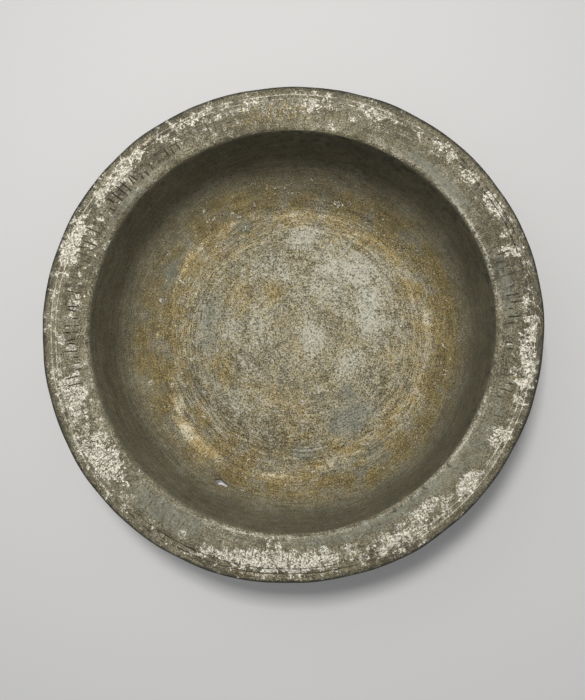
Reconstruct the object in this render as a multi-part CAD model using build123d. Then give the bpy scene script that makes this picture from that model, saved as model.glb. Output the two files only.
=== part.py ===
from build123d import *
from math import cos, radians, sin, tan
import os

# A deep round dish raised from one sheet of tinned copper alloy: flat floor, rounded knuckle,
# steep wall, rounded shoulder and a broad flat rim with a thickened edge. It is one piece of
# metal, so it is one solid, in the node "dish".
#
# Frame: millimetres, +Z up. The origin is the middle of the floor's underside, so the dish
# stands on z = 0 and its axis is Z.

# Driving dimensions, in millimetres and degrees.
RIM_DIAMETER = 300.0
HEIGHT = 60.0              # underside of the floor to the flat of the rim
SHEET = 1.5                # thickness of the metal
MOUTH_DIAMETER = 242.4     # inside of the wall, carried up to the level of the rim
WALL_LEAN = 6.0            # how far the wall opens outwards from upright
KNUCKLE_RADIUS = 28.0      # inside bend between the floor and the wall
SHOULDER_RADIUS = 4.0      # bend between the wall and the rim, on the upper face

EDGE_THICKNESS = 2.1       # the rim's edge is hammered back on itself into a rounded bead

SCRIBED_DIAMETERS = (283.4, 289.2)
SCRIBED_WIDTH = 0.9
SCRIBED_DEPTH = 0.35

# A short split is worn right through the knuckle.
HOLE_LENGTH = 9.0          # round the dish
HOLE_WIDTH = 4.2           # up the knuckle
HOLE_BEARING = 244.4       # anticlockwise from +X
HOLE_TURN = 43.5           # how far round the knuckle, from the floor

# Worked out from these.
RIM_RADIUS = RIM_DIAMETER / 2
MOUTH_RADIUS = MOUTH_DIAMETER / 2
CORNER_RADIUS = MOUTH_RADIUS - (HEIGHT - SHEET) * tan(radians(WALL_LEAN))
FLOOR_RADIUS = CORNER_RADIUS - KNUCKLE_RADIUS * tan(radians(90 - WALL_LEAN) / 2)


def sheet_section():
    """Half of the section through the sheet: its inner face, with both bends, and one thickness."""
    inner_face = FilletPolyline(
        (0, SHEET),
        (CORNER_RADIUS, SHEET),
        (MOUTH_RADIUS, HEIGHT),
        (RIM_RADIUS - EDGE_THICKNESS / 2, HEIGHT),
        radius=[KNUCKLE_RADIUS, SHOULDER_RADIUS],
    )
    return make_face(offset(inner_face, amount=SHEET, side=Side.RIGHT, closed=True))


def edge_section():
    """The rounded bead along the rim's edge, centred on the sheet's thickness."""
    middle = (RIM_RADIUS - EDGE_THICKNESS / 2, HEIGHT - SHEET / 2)
    return Pos(*middle) * Circle(EDGE_THICKNESS / 2)


def scribed_section(diameter):
    """The V that the scriber leaves in the rim's upper face."""
    middle = diameter / 2
    return make_face(Polyline(
        (middle - SCRIBED_WIDTH, HEIGHT + SCRIBED_DEPTH),
        (middle, HEIGHT - SCRIBED_DEPTH),
        (middle + SCRIBED_WIDTH, HEIGHT + SCRIBED_DEPTH),
        close=True,
    ))


def hole_cutter():
    """A slot that runs round the dish and points square through the knuckle."""
    bearing, turn = radians(HOLE_BEARING), radians(HOLE_TURN)
    radius = FLOOR_RADIUS + KNUCKLE_RADIUS * sin(turn)
    height = SHEET + KNUCKLE_RADIUS * (1 - cos(turn))
    place = Plane(
        origin=(radius * cos(bearing), radius * sin(bearing), height),
        x_dir=(-sin(bearing), cos(bearing), 0),
        z_dir=(sin(turn) * cos(bearing), sin(turn) * sin(bearing), -cos(turn)),
    )
    return extrude(place * SlotOverall(HOLE_LENGTH, HOLE_WIDTH), amount=3 * SHEET, both=True)


def turned(section):
    """A section drawn in radius and height, turned once round the dish's axis."""
    return revolve(Plane.XZ * section, Axis.Z)


def dish():
    metal = turned(sheet_section()) + turned(edge_section())
    for diameter in SCRIBED_DIAMETERS:
        metal -= turned(scribed_section(diameter))
    return metal - hole_cutter()


os.makedirs("parts", exist_ok=True)
whole = dish()
whole.label = "dish"
export_step(whole, "parts/dish.step")
print("flat floor radius", round(FLOOR_RADIUS, 2), "volume", round(whole.volume))
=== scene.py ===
import math
import random

import bpy
import numpy as np
from mathutils import Matrix, Vector


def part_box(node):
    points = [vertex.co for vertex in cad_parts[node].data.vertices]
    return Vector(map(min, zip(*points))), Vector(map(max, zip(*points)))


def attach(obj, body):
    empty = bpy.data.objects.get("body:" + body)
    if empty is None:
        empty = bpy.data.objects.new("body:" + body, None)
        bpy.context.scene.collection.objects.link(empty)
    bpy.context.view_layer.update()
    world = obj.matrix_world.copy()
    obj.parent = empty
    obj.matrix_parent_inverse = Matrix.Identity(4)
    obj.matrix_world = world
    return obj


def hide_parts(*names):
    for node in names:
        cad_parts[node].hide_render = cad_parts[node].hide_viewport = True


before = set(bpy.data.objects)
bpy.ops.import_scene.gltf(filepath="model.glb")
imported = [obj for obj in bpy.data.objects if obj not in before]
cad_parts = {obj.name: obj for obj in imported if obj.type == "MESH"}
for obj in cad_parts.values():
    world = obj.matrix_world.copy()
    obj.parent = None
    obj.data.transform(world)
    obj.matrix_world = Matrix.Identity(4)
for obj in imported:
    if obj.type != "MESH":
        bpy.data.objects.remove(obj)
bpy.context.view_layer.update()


# ---------------------------------------------------------------------------------------------
# The table top, the light and the camera.
# The dish stands on a plain pale board. A small light hangs high over its far side, so that the
# far wall lies in shade, a wide weak one stands off at the back left, and the room's own light
# fills the rest. The camera looks almost straight down into the well, from a little in front
# and to the right.

TABLE_GREY = (0.76, 0.755, 0.75, 1)
TABLE_SIDE = 6.0
CAMERA_PLACE = Vector((0.032, -0.036, 0.4443))
CAMERA_LOOKS_AT = Vector((0.0035, -0.0128, 0.060))
LENS_MM, SENSOR_MM = 40.0, 36.0
WINDOW_PLACE, WINDOW_SIDE, WINDOW_POWER = Vector((-0.03, 0.21, 0.78)), 0.14, 3.7
CEILING_PLACE, CEILING_SIDE, CEILING_POWER = Vector((-0.9, 0.8, 1.3)), 1.2, 3.0
GLOW_PLACE, GLOW_TURN = Vector((-0.0486, -0.1015, 0.0065)), 334.4    # metres, degrees
GLOW_LONG, GLOW_WIDE, GLOW_POWER = 0.014, 0.006, 0.00012
ROOM_GREY, ROOM_STRENGTH = (0.97, 0.985, 1.0, 1), 0.31


def aimed(place, target, up):
    """The matrix of a thing at place that looks at target, with up towards the top of its view."""
    back = (place - target).normalized()
    right = up.cross(back).normalized()
    turn = Matrix((right, back.cross(right), back)).transposed()
    return Matrix.Translation(place) @ turn.to_4x4()


def soft_light(name, place, side, power, tint):
    """A square lamp that shines on the dish."""
    lamp = bpy.data.lights.new(name, "AREA")
    lamp.size = side
    lamp.energy = power
    lamp.color = tint
    holder = bpy.data.objects.new(name, lamp)
    holder.matrix_world = aimed(place, Vector((0, 0, 0)), Vector((0, 1, 0.2)))
    bpy.context.collection.objects.link(holder)


bpy.ops.mesh.primitive_plane_add(size=TABLE_SIDE, location=(0, 0, 0))
table_top = bpy.context.object
table_top.name = "table_top"
table_finish = bpy.data.materials.new("pale_board")
table_finish.use_nodes = True
board = table_finish.node_tree.nodes["Principled BSDF"]
board.inputs["Base Color"].default_value = TABLE_GREY
board.inputs["Roughness"].default_value = 0.62
board.inputs["Specular IOR Level"].default_value = 0.3
table_top.data.materials.append(table_finish)

soft_light("window", WINDOW_PLACE, WINDOW_SIDE, WINDOW_POWER, (1.0, 0.985, 0.955))
soft_light("ceiling", CEILING_PLACE, CEILING_SIDE, CEILING_POWER, (1.0, 1.0, 1.0))

# The board under the worn split is lit by its own tiny lamp, so that the split shows bright.
glow = bpy.data.lights.new("light_under_split", "AREA")
glow.shape, glow.size, glow.size_y = "RECTANGLE", GLOW_LONG, GLOW_WIDE
glow.energy = GLOW_POWER
under_split = bpy.data.objects.new("light_under_split", glow)
under_split.location = GLOW_PLACE
under_split.rotation_euler.z = math.radians(GLOW_TURN)
under_split.visible_camera = False
bpy.context.collection.objects.link(under_split)

room = bpy.data.worlds.new("room")
room.use_nodes = True
room.node_tree.nodes["Background"].inputs["Color"].default_value = ROOM_GREY
room.node_tree.nodes["Background"].inputs["Strength"].default_value = ROOM_STRENGTH
bpy.context.scene.world = room

camera = bpy.data.objects.new("camera", bpy.data.cameras.new("camera"))
camera.data.sensor_fit = "HORIZONTAL"
camera.data.sensor_width = SENSOR_MM
camera.data.lens = LENS_MM
camera.data.clip_start = 0.01
camera.matrix_world = aimed(CAMERA_PLACE, CAMERA_LOOKS_AT, Vector((0, 1, 0)))
bpy.context.collection.objects.link(camera)
bpy.context.scene.camera = camera
bpy.context.scene.view_settings.view_transform = "Standard"


# ---------------------------------------------------------------------------------------------
# The dish: one sheet of copper alloy, raised by hammering over stakes, planished, trued on a
# lathe and tinned. Its section is drawn once and spun, then the rim is cut with a graver, and
# last it is knocked out of round, as long use does. Lengths are in metres.

low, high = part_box("dish")
SHEET = 0.0015
EDGE = 0.0021                                        # the thickness of the bead round the rim
RIM = (high.x - low.x) / 2
RIM_LEVEL = high.z - (EDGE - SHEET) / 2
MOUTH = 0.1212
LEAN = math.radians(6)
KNUCKLE = 0.028
SHOULDER = 0.004
CORNER = MOUTH - (RIM_LEVEL - SHEET) * math.tan(LEAN)
BEND = math.radians(90) - LEAN
FLOOR = CORNER - KNUCKLE * math.tan(BEND / 2)
BREAK = MOUTH + SHOULDER * math.tan(BEND / 2)        # where the rim's flat starts
SCRIBED = (0.1417, 0.1446)
SCRIBED_HALF, SCRIBED_DEEP = 0.00045, 0.00035
TURNS = 360


def evenly(first, last, most):
    """Steps from first to last, none longer than most, without first itself."""
    count = max(1, math.ceil(abs(last - first) / most))
    return [first + (last - first) * i / count for i in range(1, count + 1)]


def face_line(under):
    """Half of the section's face from the axis to the rim, this far under the upper face."""
    line = [(r, SHEET - under) for r in [0] + evenly(0, FLOOR, 0.0028)]
    for turn in evenly(0, BEND, math.radians(6)):
        reach = KNUCKLE + under
        line.append((FLOOR + reach * math.sin(turn), SHEET + KNUCKLE - reach * math.cos(turn)))
    foot, reach = line[-1], SHOULDER - under
    top = (BREAK - reach * math.sin(BEND), RIM_LEVEL - SHOULDER + reach * math.cos(BEND))
    line += [(foot[0] + (top[0] - foot[0]) * k, foot[1] + (top[1] - foot[1]) * k)
             for k in evenly(0, 1, 0.12)]
    for turn in evenly(BEND, 0, math.radians(12))[:-1]:
        line.append((BREAK - reach * math.sin(turn), RIM_LEVEL - SHOULDER + reach * math.cos(turn)))
    return line


def rim_line():
    """The rim's upper face with its two scribed lines, the bead round its edge, its underside."""
    line = [(BREAK, RIM_LEVEL)]
    for scribed in SCRIBED:
        line += [(r, RIM_LEVEL) for r in evenly(line[-1][0], scribed - SCRIBED_HALF, 0.002)]
        line += [(scribed, RIM_LEVEL - SCRIBED_DEEP), (scribed + SCRIBED_HALF, RIM_LEVEL)]
    bead, level, lift = RIM - EDGE / 2, RIM_LEVEL - SHEET / 2, math.asin(SHEET / EDGE)
    line += [(r, RIM_LEVEL) for r in evenly(line[-1][0], bead - 0.0012, 0.002)]
    line += [(bead + EDGE / 2 * math.cos(a), level + EDGE / 2 * math.sin(a))
             for a in evenly(math.pi - lift, lift - math.pi, math.radians(22))]
    line += [(r, RIM_LEVEL - SHEET) for r in evenly(bead - 0.0012, BREAK, 0.003)]
    return line


def alone(piece):
    """Leaves this piece as the only one selected, because an operator acts on all that is."""
    bpy.ops.object.select_all(action="DESELECT")
    piece.select_set(True)
    bpy.context.view_layer.objects.active = piece


def spun_sheet():
    """The half section drawn as a chain of edges, spun round the axis and closed at the poles."""
    section = face_line(0) + rim_line() + face_line(SHEET)[::-1]
    bpy.ops.object.select_all(action="DESELECT")
    bpy.ops.mesh.primitive_plane_add(size=SHEET, location=(0, 0, SHEET))
    bpy.ops.object.transform_apply(location=True, rotation=True, scale=True)
    bpy.ops.object.mode_set(mode="EDIT")
    bpy.ops.mesh.select_all(action="SELECT")
    bpy.ops.mesh.merge(type="CENTER")
    for (r0, z0), (r1, z1) in zip(section, section[1:]):
        bpy.ops.mesh.extrude_region_move(TRANSFORM_OT_translate={"value": (r1 - r0, 0, z1 - z0)})
    bpy.ops.mesh.select_all(action="SELECT")
    bpy.ops.mesh.spin(steps=TURNS, angle=math.tau, center=(0, 0, 0), axis=(0, 0, 1))
    bpy.ops.mesh.select_all(action="SELECT")
    bpy.ops.mesh.remove_doubles(threshold=1e-6)
    bpy.ops.mesh.normals_make_consistent(inside=False)
    bpy.ops.object.mode_set(mode="OBJECT")
    return bpy.context.object


dish = spun_sheet()
dish.name = "raised_dish"

# The border on the rim is cut with a graver: runs of upright strokes, tall and short, with a
# chevron or a pair of punched dots between one run and the next. It spells nothing.
STROKE_FOOT, STROKE_TOP, SHORT_TOP = 0.1262, 0.1392, 0.1325
STROKE_WIDE, STROKE_DEEP = 0.0010, 0.00042
BORDER_START, BORDER_END, LAST_MARK = 1.0, 358.0, 356.5    # degrees, as all bearings are
STROKE_STEP, RUN_GAP = 1.75, 3.4                     # degrees
STROKES_IN_A_RUN = (3, 4, 5, 5, 6, 7)
TALL_SHARE, DOTTED_SHARE, CHEVRON_SHARE = 0.62, 0.5, 0.55
RUBBED_FROM, RUBBED_TO = 196, 342                    # the side that use has rubbed
WORN_STROKE = 0.55                                   # how much of a cut is left there
STROKE_FADE, CRACK_FADE = 1.3, 1.15                  # how much longer a run is than its cut
CHEVRON_FOOT, CHEVRON_TOP = 0.1285, 0.1365
CHEVRON_WIDE, CHEVRON_TIP = 1.5, 0.22                # degrees
DOT, DOT_RING, DOT_PAIR = 0.00075, 0.1352, (0.1295, 0.1345)
rim_cuts, splits = [], []                            # the cutters, until they are all taken out


def cutter(kept_in, shape, matrix):
    """A copy of a cutter's shape, put in its place and kept in a list."""
    copy = bpy.data.objects.new("cutter", shape.data.copy())
    copy.data.transform(matrix)
    bpy.context.collection.objects.link(copy)
    kept_in.append(copy)


def graver_tip():
    """A wedge one long, one wide and one deep from the surface down, narrower at its ends."""
    bpy.ops.object.select_all(action="DESELECT")
    bpy.ops.mesh.primitive_cube_add(size=2, location=(0, 0, 0))
    tip = bpy.context.object
    bpy.ops.object.mode_set(mode="EDIT")
    bpy.ops.mesh.select_all(action="SELECT")
    bpy.ops.transform.resize(value=(0.65, 1, 1))
    bpy.ops.mesh.select_all(action="DESELECT")
    bpy.ops.object.mode_set(mode="OBJECT")
    for corner in tip.data.vertices:
        corner.select = corner.co.z < 0
    bpy.ops.object.mode_set(mode="EDIT")
    bpy.ops.transform.resize(value=(0.55, 0, 1))
    bpy.ops.mesh.select_all(action="SELECT")
    bpy.ops.mesh.remove_doubles(threshold=1e-5)
    bpy.ops.mesh.normals_make_consistent(inside=False)
    bpy.ops.object.mode_set(mode="OBJECT")
    return tip


def punch_tip():
    """A unit ball, faceted as a worn punch is."""
    bpy.ops.object.select_all(action="DESELECT")
    bpy.ops.mesh.primitive_ico_sphere_add(subdivisions=2, radius=1, location=(0, 0, 0))
    return bpy.context.object


def on_rim(bearing, radius):
    """A place on the rim's upper face."""
    turn = math.radians(bearing)
    return Vector((radius * math.cos(turn), radius * math.sin(turn), RIM_LEVEL))


def stroke(start, end, wide, deep):
    """One cut from start to end, both on the rim's face."""
    run = end - start
    along = run.normalized()
    across = Vector((0, 0, 1)).cross(along)
    turn = Matrix((along, across, Vector((0, 0, 1)))).transposed().to_4x4()
    size = Matrix.Diagonal((run.length / STROKE_FADE, wide, deep, 1))
    cutter(rim_cuts, graver, Matrix.Translation((start + end) / 2) @ turn @ size)


def dot(bearing, radius):
    """One shallow dot of the punch on the rim's face."""
    size = Matrix.Diagonal((DOT, DOT, DOT * 0.55, 1))
    cutter(rim_cuts, punch, Matrix.Translation(on_rim(bearing, radius)) @ size)


graver, punch = graver_tip(), punch_tip()
hand = random.Random(7)
bearing = BORDER_START
while bearing < BORDER_END:
    count = hand.choice(STROKES_IN_A_RUN)
    for i in range(count):
        tall = hand.random() < TALL_SHARE
        top = (STROKE_TOP if tall else SHORT_TOP) + hand.uniform(-0.0006, 0.0006)
        foot = STROKE_FOOT + hand.uniform(-0.0004, 0.0009)
        lean = hand.uniform(-0.22, 0.22)
        worn = WORN_STROKE if RUBBED_FROM < bearing < RUBBED_TO else 1.0
        wide = STROKE_WIDE * worn * hand.uniform(0.8, 1.15)
        deep = STROKE_DEEP * worn * hand.uniform(0.75, 1.15)
        stroke(on_rim(bearing - lean, foot), on_rim(bearing + lean, top), wide, deep)
        if not tall and hand.random() < DOTTED_SHARE:
            dot(bearing, DOT_RING)
        bearing += STROKE_STEP * hand.uniform(0.85, 1.2)
        if bearing > BORDER_END:
            break
    middle = bearing + RUN_GAP / 2 - STROKE_STEP / 2
    if middle < LAST_MARK:
        if hand.random() < CHEVRON_SHARE:
            for side in (-1, 1):
                stroke(on_rim(middle + side * CHEVRON_WIDE / 2, CHEVRON_FOOT),
                       on_rim(middle + side * CHEVRON_TIP, CHEVRON_TOP),
                       STROKE_WIDE * 0.9, STROKE_DEEP)
        else:
            for radius in DOT_PAIR:
                dot(middle, radius)
    bearing += RUN_GAP
bpy.data.objects.remove(punch)

# A short split is worn through the knuckle, ragged at its edges, with a hairline crack running on
# from each end, and a crescent crack lies further up.
SPLIT_BEARING, SPLIT_TURN = 244.4, 43.5              # degrees, the second round the knuckle
SPLIT_LONG, SPLIT_WIDE = 0.0104, 0.0044
CRACK_WIDE, CRACK_DEEP = 0.00045, 0.0010
PLUG_CORNERS = 18


def on_knuckle(bearing, turn):
    """A place on the inside of the knuckle and the direction square out of the metal there."""
    bearing, turn = math.radians(bearing), math.radians(turn)
    flat = Vector((math.cos(bearing), math.sin(bearing), 0))
    out = Vector((0, 0, 1)) * math.cos(turn) - flat * math.sin(turn)
    middle = flat * FLOOR + Vector((0, 0, SHEET + KNUCKLE))
    return middle - out * KNUCKLE, out


def facing(out, along):
    """A turn that lays X along the cut and Z square out of the metal."""
    across = out.cross(along).normalized()
    return Matrix((across.cross(out), across, out)).transposed().to_4x4()


def crack(path):
    """A hairline of short cuts from each (bearing, turn) place to the next."""
    places = [on_knuckle(*place) for place in path]
    for (start, out), (end, _) in zip(places, places[1:]):
        run = end - start
        size = Matrix.Diagonal((run.length / CRACK_FADE, CRACK_WIDE, CRACK_DEEP, 1))
        cutter(splits, graver, Matrix.Translation((start + end) / 2) @ facing(out, run) @ size)


def ragged_plug():
    """A rough-edged plug the size of the split, long across X and square through Z."""
    bpy.ops.object.select_all(action="DESELECT")
    bpy.ops.mesh.primitive_cylinder_add(vertices=PLUG_CORNERS, radius=0.5, depth=4 * SHEET)
    plug = bpy.context.object
    torn = random.Random(3)
    for i in range(PLUG_CORNERS):
        pull = torn.uniform(0.82, 1.12)
        for corner in plug.data.vertices[2 * i:2 * i + 2]:
            corner.co.x *= pull
            corner.co.y *= pull * (1.15 if corner.co.x < 0 else 0.8)
    return plug


split_place, split_out = on_knuckle(SPLIT_BEARING, SPLIT_TURN)
round_dish = Vector((0, 0, 1)).cross(Vector((split_place.x, split_place.y, 0))).normalized()
plug = ragged_plug()
cutter(splits, plug, Matrix.Translation(split_place) @ facing(split_out, round_dish)
       @ Matrix.Diagonal((SPLIT_LONG, SPLIT_WIDE, 1, 1)))
bpy.data.objects.remove(plug)
crack(((246.6, 42.8), (249.4, 41.6), (252.6, 40.6), (255.6, 38.4), (258.4, 37.4)))
crack(((242.0, 43.0), (239.8, 40.2)))
crack(((223.8, 74.5), (225.2, 70.0), (227.2, 67.0), (229.6, 66.0)))
bpy.data.objects.remove(graver)


# The finishes. The upper face keeps a worn, speckled wash of tin over grey-olive metal, rubbed
# to brass in rings; the back is darker; the cuts show brass or hold dirt. Where each kind of
# wear lies, and where painted shade and highlight lie, is painted on the dish below, and fine
# grain breaks it up here.
OLIVE_DARK = (0.080, 0.070, 0.042, 1)
OLIVE_MIDDLE = (0.262, 0.236, 0.155, 1)
OLIVE_LIGHT = (0.62, 0.575, 0.43, 1)
TIN_CREAM, TIN_DULL = (1.0, 0.95, 0.81, 1), (0.56, 0.52, 0.42, 1)
BRASS_PALE, BRASS_DEEP = (0.78, 0.70, 0.49, 1), (0.60, 0.45, 0.20, 1)
PALE_FILM_AND_HIGHLIGHT = (0.80, 0.79, 0.66, 1)
SLATE_GREY, SLATE_PALE = (0.218, 0.220, 0.170, 1), (0.315, 0.320, 0.250, 1)
SOOT_AND_SHADE_BLACK = (0.026, 0.026, 0.018, 1)
BACK_DARK, BACK_MIDDLE = (0.045, 0.038, 0.026, 1), (0.120, 0.103, 0.068, 1)
BACK_LIGHT = (0.26, 0.225, 0.155, 1)
BROWN_STAIN = (0.93, 0.77, 0.40, 1)                  # multiplies what it lies on
GLINT_PALE = (0.80, 0.75, 0.60, 1)


def wire(tree, target, value):
    """Feeds a socket from another, or sets its value."""
    if isinstance(value, bpy.types.NodeSocket):
        tree.links.new(value, target)
    else:
        target.default_value = value


def add(tree, kind, **settings):
    """A node of this kind; each setting is one of its inputs, or one of its choices."""
    made = tree.nodes.new("ShaderNode" + kind)
    for name, value in settings.items():
        target = made.inputs.get(name.replace("_", " "))
        if target is None:
            setattr(made, name, value)
        else:
            wire(tree, target, value)
    return made


def sums(tree, operation, first, second=0.0, clamp=False):
    """The result of one sum on two values."""
    made = tree.nodes.new("ShaderNodeMath")
    made.operation, made.use_clamp = operation, clamp
    wire(tree, made.inputs[0], first)
    wire(tree, made.inputs[1], second)
    return made.outputs[0]


def plus(tree, first, second, clamp=False):
    return sums(tree, "ADD", first, second, clamp)


def minus(tree, first, second):
    return sums(tree, "SUBTRACT", first, second)


def times(tree, first, second, clamp=False):
    return sums(tree, "MULTIPLY", first, second, clamp)


def swing(tree, value, much):
    """A noise's swing to both sides of its middle, made this many times as wide."""
    return times(tree, minus(tree, value, 0.5), much)


def blend(tree, share, under, over, how="MIX"):
    """Two colours mixed by a share from 0, under, to 1, over."""
    made = tree.nodes.new("ShaderNodeMix")
    made.data_type, made.blend_type = "RGBA", how
    for target, value in ((made.inputs[0], share), (made.inputs[6], under), (made.inputs[7], over)):
        wire(tree, target, value)
    return made.outputs[2]


def step(tree, value, first, last):
    """0 below first and 1 above last, with a soft step between."""
    return add(tree, "MapRange", interpolation_type="SMOOTHSTEP", Value=value,
               From_Min=first, From_Max=last).outputs[0]


def noise(tree, place, scale, detail=3.0, roughness=0.6, distortion=0.0):
    """Clouds about as many to the metre as the scale."""
    return add(tree, "TexNoise", Vector=place, Scale=scale, Detail=detail, Roughness=roughness,
               Distortion=distortion).outputs[0]


def new_group(name, takes, gives):
    """An empty node group with these named inputs and outputs, and its two end nodes."""
    group = bpy.data.node_groups.new(name, "ShaderNodeTree")
    for way, sockets in (("INPUT", takes), ("OUTPUT", gives)):
        for label, kind, value in sockets:
            made = group.interface.new_socket(label, in_out=way, socket_type="NodeSocket" + kind)
            if value is not None:
                made.default_value = value
    return group, group.nodes.new("NodeGroupInput"), group.nodes.new("NodeGroupOutput")


def ring_place_group():
    """A place for patterns that run in rings: round the worn middle, and out from it."""
    group, given, out = new_group(
        "ring place", (("Place", "Vector", None), ("Middle", "Vector", (0, 0, 0))),
        (("Ring Place", "Vector", None),))
    moved = add(group, "VectorMath", operation="SUBTRACT")
    wire(group, moved.inputs[0], given.outputs["Place"])
    wire(group, moved.inputs[1], given.outputs["Middle"])
    x, y, z = add(group, "SeparateXYZ", Vector=moved.outputs[0]).outputs
    squares = plus(group, times(group, x, x), times(group, y, y))
    reach = sums(group, "MAXIMUM", sums(group, "SQRT", squares), 0.0005)
    path = times(group, plus(group, reach, z), 100.0)
    ring = add(group, "CombineXYZ", X=sums(group, "DIVIDE", x, reach),
               Y=sums(group, "DIVIDE", y, reach), Z=path)
    wire(group, out.inputs["Ring Place"], ring.outputs[0])
    return group


def speckle_group():
    """Flakes of one grain size. Amount sets the share of the metal they cover, 0 to 1."""
    group, given, out = new_group(
        "speckle",
        (("Place", "Vector", None), ("Grain", "Float", 500.0), ("Amount", "Float", 0.5),
         ("Soft", "Float", 0.05), ("Ragged", "Float", 0.6)),
        (("Mask", "Float", None),))
    flakes = noise(group, given.outputs["Place"], given.outputs["Grain"], 3.0, 0.62,
                   given.outputs["Ragged"])
    bar = minus(group, 0.72, times(group, given.outputs["Amount"], 0.28))
    mask = step(group, flakes, minus(group, bar, given.outputs["Soft"]),
                plus(group, bar, given.outputs["Soft"]))
    any_at_all = step(group, given.outputs["Amount"], 0.0, 0.06)
    wire(group, out.inputs["Mask"], times(group, mask, any_at_all))
    return group


def tarnish_group():
    """Tarnished metal whose tone drifts over centimetres and is mottled by the millimetre."""
    group, given, out = new_group(
        "tarnish",
        (("Place", "Vector", None), ("Dark", "Color", OLIVE_DARK), ("Middle", "Color", OLIVE_MIDDLE),
         ("Light", "Color", OLIVE_LIGHT), ("Mottle", "Float", 0.5), ("Lift", "Float", 0.0)),
        (("Color", "Color", None), ("Tone", "Float", None)))
    place = given.outputs["Place"]
    drift = noise(group, place, 38.0, 4.0, 0.55)
    blotch = noise(group, place, 240.0, 3.0, 0.6)
    grain = noise(group, place, 1250.0, 1.0, 0.7, 0.3)
    fine = plus(group, swing(group, grain, 3.6), swing(group, blotch, 1.3))
    slow = plus(group, swing(group, drift, 0.6), 0.5)
    tone = plus(group, plus(group, slow, given.outputs["Lift"]),
                times(group, fine, given.outputs["Mottle"]))
    colour = blend(group, step(group, tone, 0.12, 0.52), given.outputs["Dark"],
                   given.outputs["Middle"])
    colour = blend(group, step(group, tone, 0.50, 0.95), colour, given.outputs["Light"])
    wire(group, out.inputs["Color"], colour)
    wire(group, out.inputs["Tone"], tone)
    return group


def use(tree, group, **settings):
    """The group placed in a material, with its inputs set or fed."""
    made = tree.nodes.new("ShaderNodeGroup")
    made.node_tree = group
    for name, value in settings.items():
        wire(tree, made.inputs[name.replace("_", " ")], value)
    return made


RING_PLACE, SPECKLE, TARNISH = ring_place_group(), speckle_group(), tarnish_group()
WORN_MIDDLE = (0.0036, -0.0026, 0)                   # the scoured rings sit a little off the axis


def started(name):
    """A new material, its tree, its shader, and the dish's own coordinates."""
    made = bpy.data.materials.new(name)
    made.use_nodes = True
    tree = made.node_tree
    place = add(tree, "TexCoord").outputs["Object"]
    return made, tree, tree.nodes["Principled BSDF"], place


def painted(tree, name):
    """A value painted on the mesh under this name."""
    return add(tree, "Attribute", attribute_name=name).outputs["Fac"]


def speckle(tree, place, grain, amount, soft=0.05, ragged=0.6):
    """The mask of the flakes."""
    return use(tree, SPECKLE, Place=place, Grain=grain, Amount=amount, Soft=soft,
               Ragged=ragged).outputs["Mask"]


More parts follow.
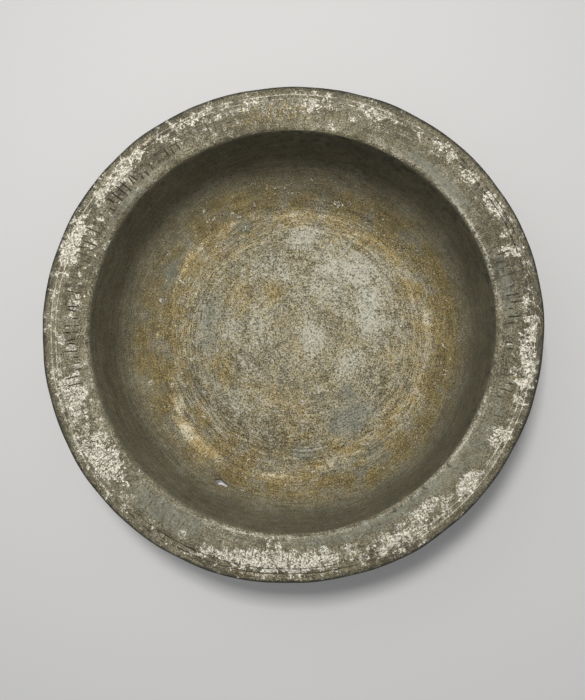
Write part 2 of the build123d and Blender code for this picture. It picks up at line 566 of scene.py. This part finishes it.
def worn_tinned_face():
    """The upper face, from the tarnished metal up through stain, a pale scoured coat and a painted
    highlight at the mouth, scratches and painted glints, brass and tin.
    """
    made, tree, shader, place = started("worn_tinned_face")
    rings = use(tree, RING_PLACE, Place=place, Middle=WORN_MIDDLE).outputs["Ring Place"]
    grainy, scoured = painted(tree, "grain"), painted(tree, "scoured")
    cloud = noise(tree, place, 85.0, 5.0, 0.6)
    patch = noise(tree, place, 170.0, 4.0, 0.62, 0.5)
    swirl = swing(tree, noise(tree, rings, 3.2, 6.0, 0.62, 0.25), 2.2)
    blots = swing(tree, patch, 2.0)

    # The metal itself, mottled most where it is worn, with streaks that follow the rings.
    worn = plus(tree, times(tree, step(tree, patch, 0.38, 0.60), 0.7), 0.6)
    streaked = plus(tree, times(tree, swirl, 0.24), times(tree, blots, 0.34))
    metal = use(tree, TARNISH, Place=place, Mottle=times(tree, grainy, worn),
                Lift=plus(tree, streaked, painted(tree, "tone")))
    tone, colour = metal.outputs["Tone"], metal.outputs["Color"]
    drifts = step(tree, plus(tree, cloud, times(tree, swirl, 0.15)), 0.28, 0.58)
    brown = times(tree, painted(tree, "brown"), drifts, clamp=True)
    colour = blend(tree, brown, colour, BROWN_STAIN, "MULTIPLY")

    # A pale film where the floor is scoured, a painted highlight along the rim's mouth, and smooth
    # slate grey where the tin is worn thin.
    gritty = swing(tree, noise(tree, place, 950.0, 2.0, 0.7), 3.4)
    broken = plus(tree, times(tree, swirl, 0.45), times(tree, blots, 1.1))
    film_and_highlight = plus(tree, painted(tree, "film_and_highlight"), broken)
    film_and_highlight = step(tree, plus(tree, film_and_highlight, gritty), 0.26, 1.16)
    colour = blend(tree, times(tree, film_and_highlight, 0.74), colour, PALE_FILM_AND_HIGHLIGHT)
    slate = plus(tree, painted(tree, "slate"), times(tree, blots, 0.6))
    slate = times(tree, step(tree, slate, 0.15, 0.75), 0.8)
    grey = blend(tree, step(tree, tone, 0.25, 0.75), SLATE_GREY, SLATE_PALE)
    colour = blend(tree, slate, colour, grey)

    # Pale and dark thin lines round the rings: scratches and grooves from scouring, with painted
    # glints on the pale lines and painted shade on the dark ones, for fine turning lines.
    drawn_thin = add(tree, "VectorMath", operation="MULTIPLY")
    wire(tree, drawn_thin.inputs[0], rings)
    drawn_thin.inputs[1].default_value = (1.0, 1.0, 1.6)
    lines = noise(tree, drawn_thin.outputs[0], 7.0, 2.0, 0.65, 0.6)
    scratch_and_glint = times(tree, step(tree, lines, 0.54, 0.64), scoured)
    colour = blend(tree, times(tree, scratch_and_glint, 0.55), colour, GLINT_PALE)
    groove_and_shade = times(tree, step(tree, minus(tree, 1.0, lines), 0.54, 0.64), scoured)
    colour = blend(tree, times(tree, groove_and_shade, 0.45), colour, OLIVE_DARK)
    # Grime with painted shade, in blotches: it darkens the knuckle, the wall and the rim's outer
    # edge.
    patchy = plus(tree, times(tree, blots, 0.7), 1.0)
    grime_and_shade = times(tree, painted(tree, "grime_and_shade"), patchy, clamp=True)
    colour = blend(tree, grime_and_shade, colour, SOOT_AND_SHADE_BLACK)

    # Brass rubbed bright in flecks, and the flakes of tin that are left.
    rub = times(tree, painted(tree, "brass"), plus(tree, times(tree, swirl, 0.8), 1.0))
    gold = speckle(tree, place, 850.0, times(tree, rub, minus(tree, 1.0, slate)), 0.045, 1.4)
    brass = blend(tree, step(tree, cloud, 0.40, 0.62), BRASS_PALE, BRASS_DEEP)
    colour = blend(tree, times(tree, gold, 0.82), colour, brass)
    held = step(tree, plus(tree, painted(tree, "tin"), times(tree, blots, 1.15)), 0.20, 0.80)
    tin = speckle(tree, place, 480.0, times(tree, held, 0.94), 0.025, 1.8)
    clean = step(tree, noise(tree, place, 800.0, 2.0), 0.36, 0.58)
    colour = blend(tree, tin, colour, blend(tree, clean, TIN_DULL, TIN_CREAM))

    # Soot, painted shade along the bead round the rim, and pits lie over everything.
    soot_and_shade = speckle(tree, place, 240.0, painted(tree, "soot_and_shade"), 0.16)
    colour = blend(tree, times(tree, soot_and_shade, 0.9), colour, SOOT_AND_SHADE_BLACK)
    pits = speckle(tree, place, 850.0, times(tree, grainy, 0.52), 0.03)
    colour = blend(tree, times(tree, pits, 0.72), colour, OLIVE_DARK)
    wire(tree, shader.inputs["Base Color"], colour)

    bared = plus(tree, times(tree, tin, 0.10), times(tree, gold, 0.30), clamp=True)
    wire(tree, shader.inputs["Metallic"], plus(tree, bared, 0.08))
    rough = minus(tree, 0.62, times(tree, bared, 0.5))
    wire(tree, shader.inputs["Roughness"], plus(tree, rough, times(tree, pits, 0.2)))
    shader.inputs["Specular IOR Level"].default_value = 0.35
    raised = plus(tree, times(tree, tin, 0.7), tone)
    sunk = plus(tree, pits, times(tree, groove_and_shade, 0.8))
    bump = add(tree, "Bump", Height=minus(tree, raised, sunk), Distance=0.0002, Strength=1.0)
    wire(tree, shader.inputs["Normal"], bump.outputs[0])
    return made


def bare_back():
    """The back: dark tarnish, sooty blotches with painted shade along the bead, and brass where it
    rubs on what it stands on.
    """
    made, tree, shader, place = started("bare_back")
    metal = use(tree, TARNISH, Place=place, Mottle=0.4, Dark=BACK_DARK,
                Middle=BACK_MIDDLE, Light=BACK_LIGHT)
    soot_and_shade = speckle(tree, place, 110.0, painted(tree, "soot_and_shade"), 0.14)
    colour = blend(tree, times(tree, soot_and_shade, 0.8), metal.outputs["Color"], SOOT_AND_SHADE_BLACK)
    gold = speckle(tree, place, 420.0, painted(tree, "brass"), 0.12, 1.0)
    colour = blend(tree, gold, colour, BRASS_PALE)
    wire(tree, shader.inputs["Base Color"], colour)
    wire(tree, shader.inputs["Metallic"], plus(tree, times(tree, gold, 0.5), 0.2))
    wire(tree, shader.inputs["Roughness"], minus(tree, 0.58, times(tree, gold, 0.2)))
    bump = add(tree, "Bump", Height=metal.outputs["Tone"], Distance=0.00015, Strength=0.8)
    wire(tree, shader.inputs["Normal"], bump.outputs[0])
    return made


def cut_metal():
    """The metal that a graver or the split has bared, with dirt packed in some of the cuts."""
    made, tree, shader, place = started("cut_metal")
    metal = use(tree, TARNISH, Place=place, Mottle=0.4)
    gold = speckle(tree, place, 420.0, times(tree, painted(tree, "brass"), 2.2), 0.14)
    colour = blend(tree, gold, metal.outputs["Color"], BRASS_DEEP)
    lumps = step(tree, noise(tree, place, 260.0), 0.34, 0.52)
    packed = times(tree, painted(tree, "dirt"), lumps)
    colour = blend(tree, packed, colour, SOOT_AND_SHADE_BLACK)
    wire(tree, shader.inputs["Base Color"], colour)
    wire(tree, shader.inputs["Metallic"], times(tree, gold, 0.6))
    shader.inputs["Roughness"].default_value = 0.5
    return made


face_finish, back_finish, cut_finish = worn_tinned_face(), bare_back(), cut_metal()
FACE, BACK = 0, 1
for finish in (face_finish, back_finish, cut_finish):
    dish.data.materials.append(finish)
for panel in dish.data.polygons:
    panel.material_index = FACE if panel.normal.z > 0 else BACK


# The graver's cuts and the split are now taken out of the sheet, and the metal that they bare is
# the cut metal. The small cuts of the split overlap, so those are made one first.
def boolean(piece, operation, other):
    """Adds another closed shape to this one or takes it away, and puts the other one aside."""
    alone(piece)
    cut = piece.modifiers.new("cut", "BOOLEAN")
    cut.operation, cut.solver, cut.object = operation, "EXACT", other
    cut.material_mode = "TRANSFER"
    bpy.ops.object.modifier_apply(modifier="cut")
    bpy.data.objects.remove(other)


for piece in rim_cuts + splits:
    piece.data.materials.clear()
    piece.data.materials.append(cut_finish)
for piece in splits[1:]:
    boolean(splits[0], "UNION", piece)
bpy.ops.object.select_all(action="DESELECT")
for piece in rim_cuts:
    piece.select_set(True)
bpy.context.view_layer.objects.active = rim_cuts[0]
bpy.ops.object.join()
boolean(dish, "DIFFERENCE", rim_cuts[0])
boolean(dish, "DIFFERENCE", splits[0])


# Hammering: planishing marks all over, and the whole knocked out of round. A push is
# (bearing in degrees, how many degrees it reaches, how far out in metres).
RIM_PUSHES = ((88, 34, -0.0019), (150, 28, 0.0009), (330, 30, -0.0015), (277, 15, -0.0013))
MOUTH_PUSHES = ((22, 24, 0.0018), (2, 14, 0.0007), (135, 26, 0.0008), (302, 34, -0.0008))
# A ripple is (how many go round, where it starts in radians, how far in metres).
EDGE_RIPPLES = ((17, 1.0, 0.00013), (29, 0.0, 0.0001))
RIM_WAVES = ((2, 0.8, 0.0005), (3, 2.0, 0.0004), (7, 0.0, 0.00022))
# A dent is (bearing, radius, height, reach, depth into the back).
DENTS = ((244.4, 0.110, 0.009, 0.011, 0.0006), (227, 0.1155, 0.018, 0.010, 0.0009),
         (290, 0.118, 0.040, 0.016, 0.0008), (40, 0.119, 0.036, 0.020, 0.0009),
         (160, 0.118, 0.030, 0.015, -0.0007), (110, 0.112, 0.016, 0.014, 0.0007),
         (330, 0.060, 0.0015, 0.020, 0.0004), (75, 0.050, 0.0015, 0.024, -0.0005))
MARK_SIZE, MARK_DEEP = 0.013, 0.00022


def planished(piece):
    """Shallow overlapping marks of a planishing hammer."""
    marks = piece.modifiers.new("planishing", "DISPLACE")
    marks.texture = bpy.data.textures.new("planishing", "VORONOI")
    marks.texture.noise_scale = MARK_SIZE
    marks.texture_coords = "LOCAL"
    marks.strength, marks.mid_level = MARK_DEEP, 0.3
    bpy.ops.object.modifier_apply(modifier="planishing")


def ramp(values, start, length):
    """0 up to the start, and from there up to 1 over this length."""
    return np.clip((values - start) / length, 0, 1)


def bell(values, middle, reach):
    """1 in the middle, and falling off softly to both sides."""
    return np.exp(-((values - middle) / reach) ** 2)


def degrees_off(bearing, middle):
    """How many degrees each bearing is from the middle, the short way round."""
    return (bearing - middle + 180) % 360 - 180


def swell(bearing, pushes):
    """How far out the pushes move each bearing."""
    return sum(far * bell(degrees_off(bearing, middle), 0, reach) for middle, reach, far in pushes)


def ripple(turn, ripples):
    """How far the ripples move each place round the rim."""
    return sum(far * np.sin(count * turn + start) for count, start, far in ripples)


def corners(mesh):
    """The places of a mesh's corners, one row for each."""
    flat = np.empty(len(mesh.vertices) * 3, np.float32)
    mesh.vertices.foreach_get("co", flat)
    return flat.reshape(-1, 3).astype(float)


alone(dish)
planished(dish)
places = corners(dish.data)
out_from_axis = np.maximum(np.hypot(places[:, 0], places[:, 1]), 1e-6)
bearings = np.degrees(np.arctan2(places[:, 1], places[:, 0])) % 360
level = ramp(places[:, 2], 0, RIM_LEVEL)
rim_share = ramp(out_from_axis, MOUTH, RIM - MOUTH)
# The pushes grow from nothing at the foot to their whole reach at the rim.
push = level ** 1.3 * (swell(bearings, MOUTH_PUSHES) * (1 - rim_share)
                       + swell(bearings, RIM_PUSHES) * rim_share)
turns = np.radians(bearings)
push += level * rim_share * ripple(turns, EDGE_RIPPLES)
places[:, 2] += ripple(turns, RIM_WAVES) * level ** 2 * (0.35 + 0.65 * rim_share)
places[:, :2] *= (1 + push / out_from_axis)[:, None]
for bearing, radius, height, reach, depth in DENTS:
    turn = math.radians(bearing)
    middle = np.array((radius * math.cos(turn), radius * math.sin(turn), height))
    outward = np.array((math.cos(turn), math.sin(turn), 0))
    outward *= min(1, max(0, (radius - FLOOR) / KNUCKLE))
    outward[2] = -math.sqrt(max(0, 1 - outward[0] ** 2 - outward[1] ** 2))
    near = bell(np.linalg.norm(places - middle, axis=1), 0, reach)
    places += outward * depth * near[:, None]
places[:, 2] = np.maximum(places[:, 2], 0)
dish.data.vertices.foreach_set("co", places.astype(np.float32).ravel())
dish.data.update()

# Painting the wear, and some painted light and shade. A patch is (bearing, reach in degrees,
# radius, reach in metres, how much), and a reach of 999 degrees goes all the way round. Tin is
# what is left of the wash, brass is bared metal, film is pale and scoured and along the rim's
# mouth a painted highlight, slate is smooth and grey, and dirt lies in the cuts.
RIM_TIN = (
    (3, 5, 0.142, 0.006, 0.45), (19, 3, 0.139, 0.005, 0.5), (31, 4, 0.142, 0.005, 0.75),
    (39, 3, 0.141, 0.005, 0.55), (49, 3, 0.141, 0.005, 0.45), (69, 4, 0.139, 0.006, 0.5),
    (83, 5, 0.137, 0.006, 0.5), (115, 20, 0.138, 0.010, 0.25), (136, 9, 0.141, 0.006, 0.6),
    (158, 6, 0.142, 0.007, 0.9), (172, 5, 0.130, 0.004, 0.6), (150, 30, 0.135, 0.012, 0.25),
    (197, 7, 0.135, 0.008, 0.95), (216, 8, 0.134, 0.008, 1.0), (268, 16, 0.137, 0.007, 0.95),
    (267, 4, 0.127, 0.005, 0.6), (307, 5, 0.133, 0.004, 1.2), (300, 12, 0.138, 0.006, 0.6),
    (319, 4, 0.138, 0.007, 0.7), (333, 4, 0.137, 0.007, 0.6), (353, 9, 0.141, 0.006, 0.7))
RIM_BRASS = (
    (126, 2, 0.145, 0.002, 0.8), (268, 18, 0.146, 0.003, 0.55), (294, 4, 0.140, 0.002, 0.8),
    (345, 7, 0.139, 0.0015, 0.7), (90, 13, 0.133, 0.007, 0.45), (100, 6, 0.128, 0.004, 0.4))
RIM_SLATE = (
    (44, 14, 0.127, 0.004, 0.7), (237, 14, 0.131, 0.008, 0.6), (300, 40, 0.1265, 0.004, 0.55),
    (328, 16, 0.131, 0.006, 0.5), (140, 12, 0.1255, 0.003, 0.5), (10, 12, 0.129, 0.005, 0.5))
# Painted highlight along the rounded shoulder at the rim's mouth.
MOUTH_HIGHLIGHT = ((30, 34, 0.1232, 0.0014, 1.0), (320, 32, 0.1232, 0.0014, 1.0),
            (262, 26, 0.1232, 0.0014, 0.8), (200, 30, 0.1232, 0.0014, 0.6))
RIM_TONE = ((5, 30, 0.132, 0.02, -0.08), (128, 24, 0.135, 0.02, -0.06), (305, 40, 0.147, 0.004, -0.1),
            (285, 30, 0.132, 0.01, 0.05))
WELL_TONE = ((48, 30, 0.055, 0.022, 0.12), (20, 999, 0.004, 0.014, 0.12),
             (232, 50, 0.076, 0.020, -0.18), (300, 40, 0.080, 0.015, -0.07))
DARK_LINES = ((262, 34, 0.143, 0.01, 1.0), (30, 26, 0.143, 0.01, 0.7))
LIT_SIDE = ((225, 85, 0.112, 0.09, 1.0),)
SHADED_SIDE = ((72, 48, 0.112, 0.09, 1.0), (338, 34, 0.112, 0.09, 0.4))
CUT_DIRT = ((140, 34, 0.133, 0.03, 0.85), (88, 24, 0.133, 0.03, 0.35), (4, 22, 0.133, 0.03, 0.8),
            (180, 22, 0.133, 0.03, 0.85), (346, 12, 0.133, 0.03, 0.6),
            (244, 20, 0.110, 0.02, 0.7), (228, 8, 0.117, 0.01, 0.8))
RIM_SOOT = ((138, 16, 0.134, 0.008, 0.35), (172, 12, 0.132, 0.006, 0.3), (12, 14, 0.131, 0.008, 0.25))
WELL_FILM = (
    (50, 14, 0.062, 0.011, 1.15), (66, 12, 0.056, 0.012, 0.90), (87, 9, 0.073, 0.009, 1.1),
    (30, 12, 0.056, 0.011, 1.0), (15, 12, 0.050, 0.010, 1.1), (101, 7, 0.047, 0.005, 0.75),
    (173, 14, 0.047, 0.007, 0.56), (335, 18, 0.038, 0.009, 0.70), (20, 70, 0.008, 0.011, 0.9),
    (160, 30, 0.030, 0.008, 0.52), (230, 14, 0.056, 0.009, 0.42), (115, 12, 0.055, 0.010, 0.47),
    (165, 13, 0.063, 0.010, 0.47), (12, 8, 0.060, 0.009, 0.47), (215, 14, 0.040, 0.010, 0.38),
    (60, 30, 0.038, 0.010, 0.6), (305, 14, 0.062, 0.010, 0.42), (100, 10, 0.080, 0.008, 0.47))
WELL_TIN = ((50, 10, 0.064, 0.010, 0.35), (87, 8, 0.072, 0.008, 0.35), (66, 12, 0.056, 0.012, 0.25))
WELL_SLATE = (
    (302, 15, 0.064, 0.010, 1.0), (313, 7, 0.050, 0.008, 0.8), (165, 13, 0.063, 0.010, 0.6),
    (272, 9, 0.076, 0.006, 0.7), (150, 16, 0.100, 0.006, 0.6), (115, 12, 0.088, 0.010, 0.5),
    (180, 12, 0.062, 0.007, 0.5), (205, 10, 0.078, 0.006, 0.5), (300, 24, 0.088, 0.005, 0.45))
WELL_BRASS = (
    (8, 10, 0.086, 0.005, 0.95), (40, 28, 0.085, 0.005, 0.85), (85, 28, 0.086, 0.005, 0.75),
    (118, 14, 0.091, 0.005, 0.85), (145, 14, 0.095, 0.005, 0.8), (222, 12, 0.098, 0.005, 1.0),
    (232, 6, 0.097, 0.003, 1.1), (208, 6, 0.093, 0.006, 0.8), (262, 12, 0.094, 0.005, 0.8),
    (290, 18, 0.085, 0.006, 0.8), (330, 24, 0.085, 0.007, 0.85), (125, 14, 0.038, 0.008, 0.6),
    (250, 26, 0.045, 0.014, 0.5), (352, 14, 0.060, 0.020, 0.4), (208, 16, 0.066, 0.012, 0.45),
    (143, 12, 0.052, 0.010, 0.5), (180, 999, 0.084, 0.010, 0.45))
WELL_BROWN = (
    (30, 26, 0.103, 0.007, 0.95), (112, 16, 0.104, 0.008, 1.0), (70, 20, 0.100, 0.007, 0.75),
    (208, 5, 0.105, 0.008, 1.0), (262, 14, 0.095, 0.007, 1.0), (232, 16, 0.086, 0.007, 0.95),
    (297, 4, 0.104, 0.009, 1.0), (308, 22, 0.106, 0.005, 0.85), (340, 16, 0.092, 0.007, 0.8),
    (6, 16, 0.084, 0.005, 0.9), (142, 14, 0.052, 0.008, 0.75), (200, 12, 0.058, 0.009, 0.75),
    (270, 8, 0.062, 0.014, 0.75), (288, 4, 0.072, 0.010, 0.75), (185, 30, 0.110, 0.004, 0.5),
    (180, 999, 0.094, 0.014, 0.80), (118, 14, 0.038, 0.010, 0.6), (245, 24, 0.045, 0.014, 0.5))


def patches(bearing, radius, listed):
    """How much of a kind of wear each point has: the strongest of the patches that reach it."""
    total = np.zeros_like(bearing)
    for middle, reach, far, wide, much in listed:
        away = degrees_off(bearing, middle)
        patch = much * np.exp(-(away / reach) ** 2 - ((radius - far) / wide) ** 2)
        total = np.where(abs(patch) > abs(total), patch, total)
    return total


def spread(rim_patches, well_patches, rim_base, well_base, wall_base):
    """One kind of wear over the whole dish: its patches, on top of a base for each part."""
    rim = rim_base + patches(bearings, out_from_axis, rim_patches)
    well = well_base + patches(floor_bearing, floor_out, well_patches)
    return np.where(on_top, rim, well * (1 - wall) + wall_base * wall)


def paint(name, values):
    """Keeps a value for each point of the mesh under a name that the finishes read."""
    layer = dish.data.attributes.new(name, "FLOAT", "POINT")
    layer.data.foreach_set("value", values.astype(np.float32))


# Where each point lies: on the rim or in the well, how far up the wall, and how far out from
# the middle of the scoured rings.
on_top = out_from_axis > MOUTH + 0.0005
wall = ramp(out_from_axis, 0.106, 0.010) * ~on_top
# edge is the bead round the rim, where painted shade darkens the soot and the tone.
edge = bell(out_from_axis, RIM, 0.0016)
from_middle = places[:, :2] - np.array(WORN_MIDDLE[:2])
floor_out = np.hypot(from_middle[:, 0], from_middle[:, 1])
floor_bearing = np.degrees(np.arctan2(from_middle[:, 1], from_middle[:, 0])) % 360
fading = ramp(floor_out, 0.084, 0.026)

# The two scribed lines are pale with tin, but for the stretches where they hold dirt.
line = sum(bell(out_from_axis, scribed, 0.0003) for scribed in SCRIBED)
line *= places[:, 2] > 0.05
dark_line = line * patches(bearings, out_from_axis, DARK_LINES)
pale_line = line - dark_line
rim_quiet = patches(bearings, out_from_axis, RIM_SLATE)
rim_tin = 0.19 + 0.12 * bell(out_from_axis, 0.1425, 0.005) - 0.30 * rim_quiet
pale_floor = 0.26 - 0.52 * ramp(floor_out, 0.070, 0.022)
paint("tin", spread(RIM_TIN, WELL_TIN, rim_tin, 0.20, -0.3) + 0.4 * pale_line)
paint("brass", spread(RIM_BRASS, WELL_BRASS, 0.10, 0.22, 0.0))
paint("brown", spread((), WELL_BROWN, 0.16, 0.50, 0.20))
paint("slate", spread(RIM_SLATE, WELL_SLATE, 0.14, 0.05, 0.38))
paint("film_and_highlight", spread(MOUTH_HIGHLIGHT, WELL_FILM, -0.2, pale_floor, -0.4) + 1.5 * pale_line)
paint("grain", np.where(on_top, 0.52 - 0.32 * rim_quiet, 0.90 - 0.50 * fading))
# The tone is lowered along the bead as painted shade.
paint("tone", spread(RIM_TONE, WELL_TONE, -0.11, 0.12, 0.03) - 0.25 * edge)
paint("dirt", 0.12 + patches(bearings, out_from_axis, CUT_DIRT))
paint("scoured", np.where(on_top, 0.2, 0.3 + 0.6 * bell(floor_out, 0.079, 0.012)))
# The soot is raised along the bead as painted shade, and on the dark stretches of the scribed lines
# as dirt.
rim_soot = spread(RIM_SOOT, (), 0.16, 0.04, 0.0)
paint("soot_and_shade", np.clip(rim_soot + 1.3 * edge + 1.6 * dark_line, 0, 1.4))

# Grime lies in the knuckle, and painted shade darkens the knuckle and the wall: more the higher up
# the wall, most on the far side, which the lamp leaves in shade, and on the right, and least on the
# near left, which the lamp lights. On the rim, the colour darkens towards the outer edge.
high_wall = ramp(places[:, 2], 0.012, 0.045) ** 0.8
low_down = (1 - high_wall) ** 1.5
lit_side = patches(bearings, out_from_axis, LIT_SIDE)
shaded_side = patches(bearings, out_from_axis, SHADED_SIDE)
knuckle_grime_and_shade = 0.18 + 0.12 * shaded_side + (0.11 + 0.17 * shaded_side) * low_down
wall_grime_and_shade = (0.42 * high_wall + 0.10) * wall * (1 - 0.55 * lit_side)
well_grime_and_shade = knuckle_grime_and_shade * ramp(floor_out, 0.079, 0.017) + wall_grime_and_shade
paint("grime_and_shade", np.where(on_top, 0.16 * ramp(out_from_axis, 0.1445, 0.004), well_grime_and_shade))

alone(dish)
bpy.ops.object.shade_smooth_by_angle(angle=math.radians(32))

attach(dish, "root")
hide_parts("dish")
